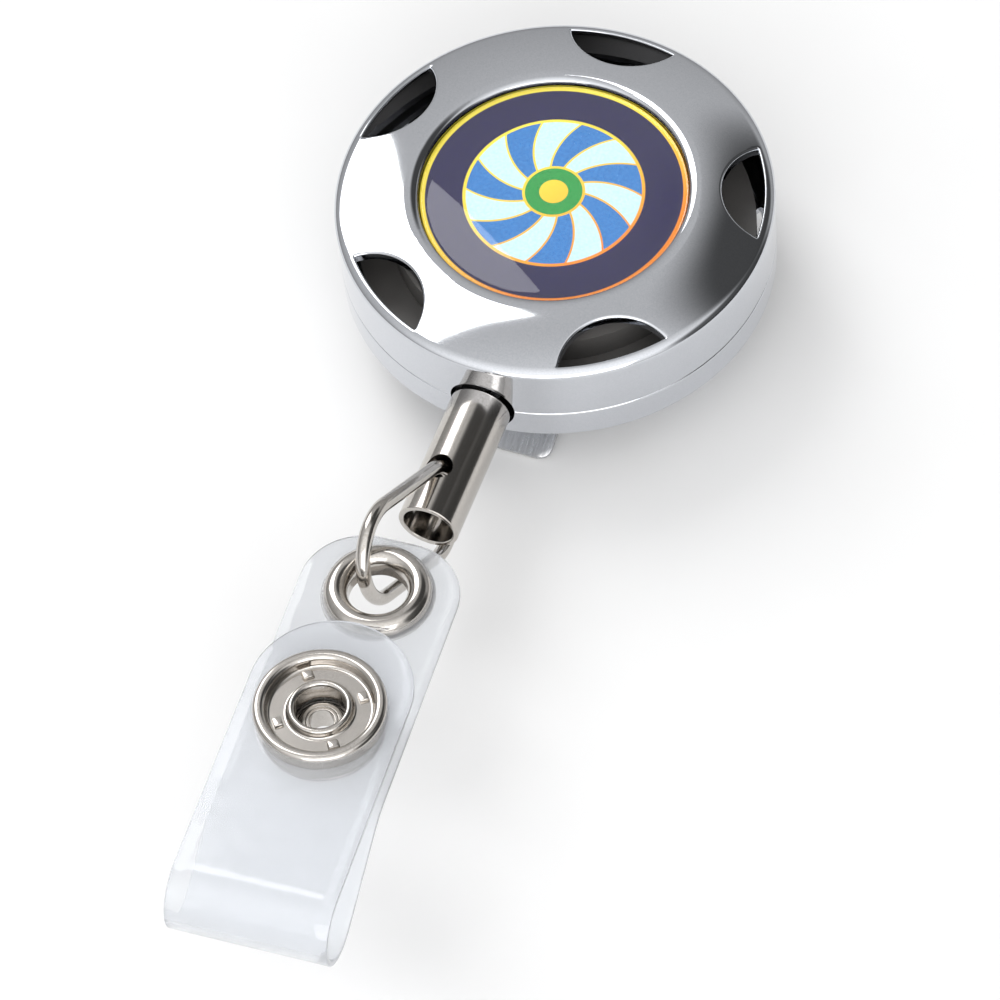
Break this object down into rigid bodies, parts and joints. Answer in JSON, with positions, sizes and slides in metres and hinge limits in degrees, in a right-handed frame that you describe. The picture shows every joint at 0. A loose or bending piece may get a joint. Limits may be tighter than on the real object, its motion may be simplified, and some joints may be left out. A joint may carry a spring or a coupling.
{
  "type": "retractable badge reel",
  "caption": "Round metal reel with half-moon windows, belt clip, swivel sleeve, oval ring and a clear snap strap on a spring-wound pull cord.",
  "frame": {"origin": "on the case's axis, on the outer face of its back plate, where a belt or pocket edge bears inside the clip", "axes": "+Z out of the label face along the case's axis; -Y out of the cord nozzle, along the cord's pull; +X to the right, seen from the front with the nozzle down"},
  "size_m": [0.04, 0.1005, 0.021],
  "materials": {
    "chrome_case": "polished, bright chrome plate on zinc casting",
    "nickel": "polished nickel plate on brass",
    "spring_steel": "satin nickel on spring steel",
    "black_housing": "moulded, fine matt texture",
    "white_spool": "moulded, satin",
    "steel_strip": "blued spring strip",
    "cord_yarn": "braided nylon",
    "label_print": "printed, gloss",
    "clear_epoxy": "clear, doming resin",
    "clear_vinyl": "clear, soft vinyl sheet"
  },
  "bodies": {
    "case": {"front_shell": "chrome_case", "back_shell": "chrome_case", "label_plate": "label_print", "label_dome": "clear_epoxy", "front_liner": "black_housing", "back_liner": "black_housing", "spool_post": "steel_strip", "power_spring": "steel_strip", "clip_foot": "spring_steel", "clip_rivets": "nickel"},
    "spool": {"spool": "white_spool", "spring_cover": "white_spool", "cord_winding": "cord_yarn"},
    "clip_tongue": {"clip_tongue": "spring_steel"},
    "cord_end": {"cord_lead": "cord_yarn", "cord_bead": "nickel"},
    "sleeve": {"sleeve": "nickel"},
    "ring": {"oval_ring": "nickel"},
    "strap": {"strap_back": "clear_vinyl", "eyelet": "nickel", "eyelet_washer": "nickel", "snap_stud": "nickel", "snap_post": "nickel"},
    "flap": {"strap_flap": "clear_vinyl", "snap_cap": "nickel", "snap_socket": "nickel", "socket_spring": "nickel"}
  },
  "joints": [
    {"name": "cord_pull", "type": "slide", "parent": "case", "child": "cord_end", "axis": [0, -1, 0], "range_m": [0, 0.6], "stiffness_N_per_m": 1.5, "springref_m": -0.3, "deforming": ["cord_lead"]},
    {"name": "spool_spin", "type": "hinge", "parent": "case", "child": "spool", "pos_m": [0, 0, 0.0051], "axis": [0, 0, -1], "range_deg": [0, 3340], "deforming": ["power_spring"]},
    {"name": "sleeve_swivel", "type": "hinge", "parent": "cord_end", "child": "sleeve", "pos_m": [0, -0.0213, 0.0051], "axis": [0, -1, 0], "continuous": true},
    {"name": "ring_swing", "type": "hinge", "parent": "sleeve", "child": "ring", "pos_m": [0, -0.0289, 0.0051], "axis": [-0.2164, 0, 0.9763], "range_deg": [-90, 90]},
    {"name": "strap_pitch", "type": "hinge", "parent": "ring", "child": "strap", "pos_m": [-0.00113, -0.03995, 0.01018], "axis": [-0.9763, 0, -0.2164], "range_deg": [-65, 35]},
    {"name": "flap_open", "type": "hinge", "parent": "strap", "child": "flap", "pos_m": [0.00159, -0.07209, 0.01472], "axis": [0.9983, 0.0576, 0], "range_deg": [0, 110]},
    {"name": "clip_flex", "type": "hinge", "parent": "case", "child": "clip_tongue", "pos_m": [0, 0.0195, -0.00245], "axis": [1, 0, 0], "range_deg": [0, 10], "stiffness_Nm_per_rad": 0.9, "springref_deg": -2.86}
  ],
  "couplings": [
    {"joint": "spool_spin", "follows": "cord_pull", "rad_per_m": 97.09}
  ]
}
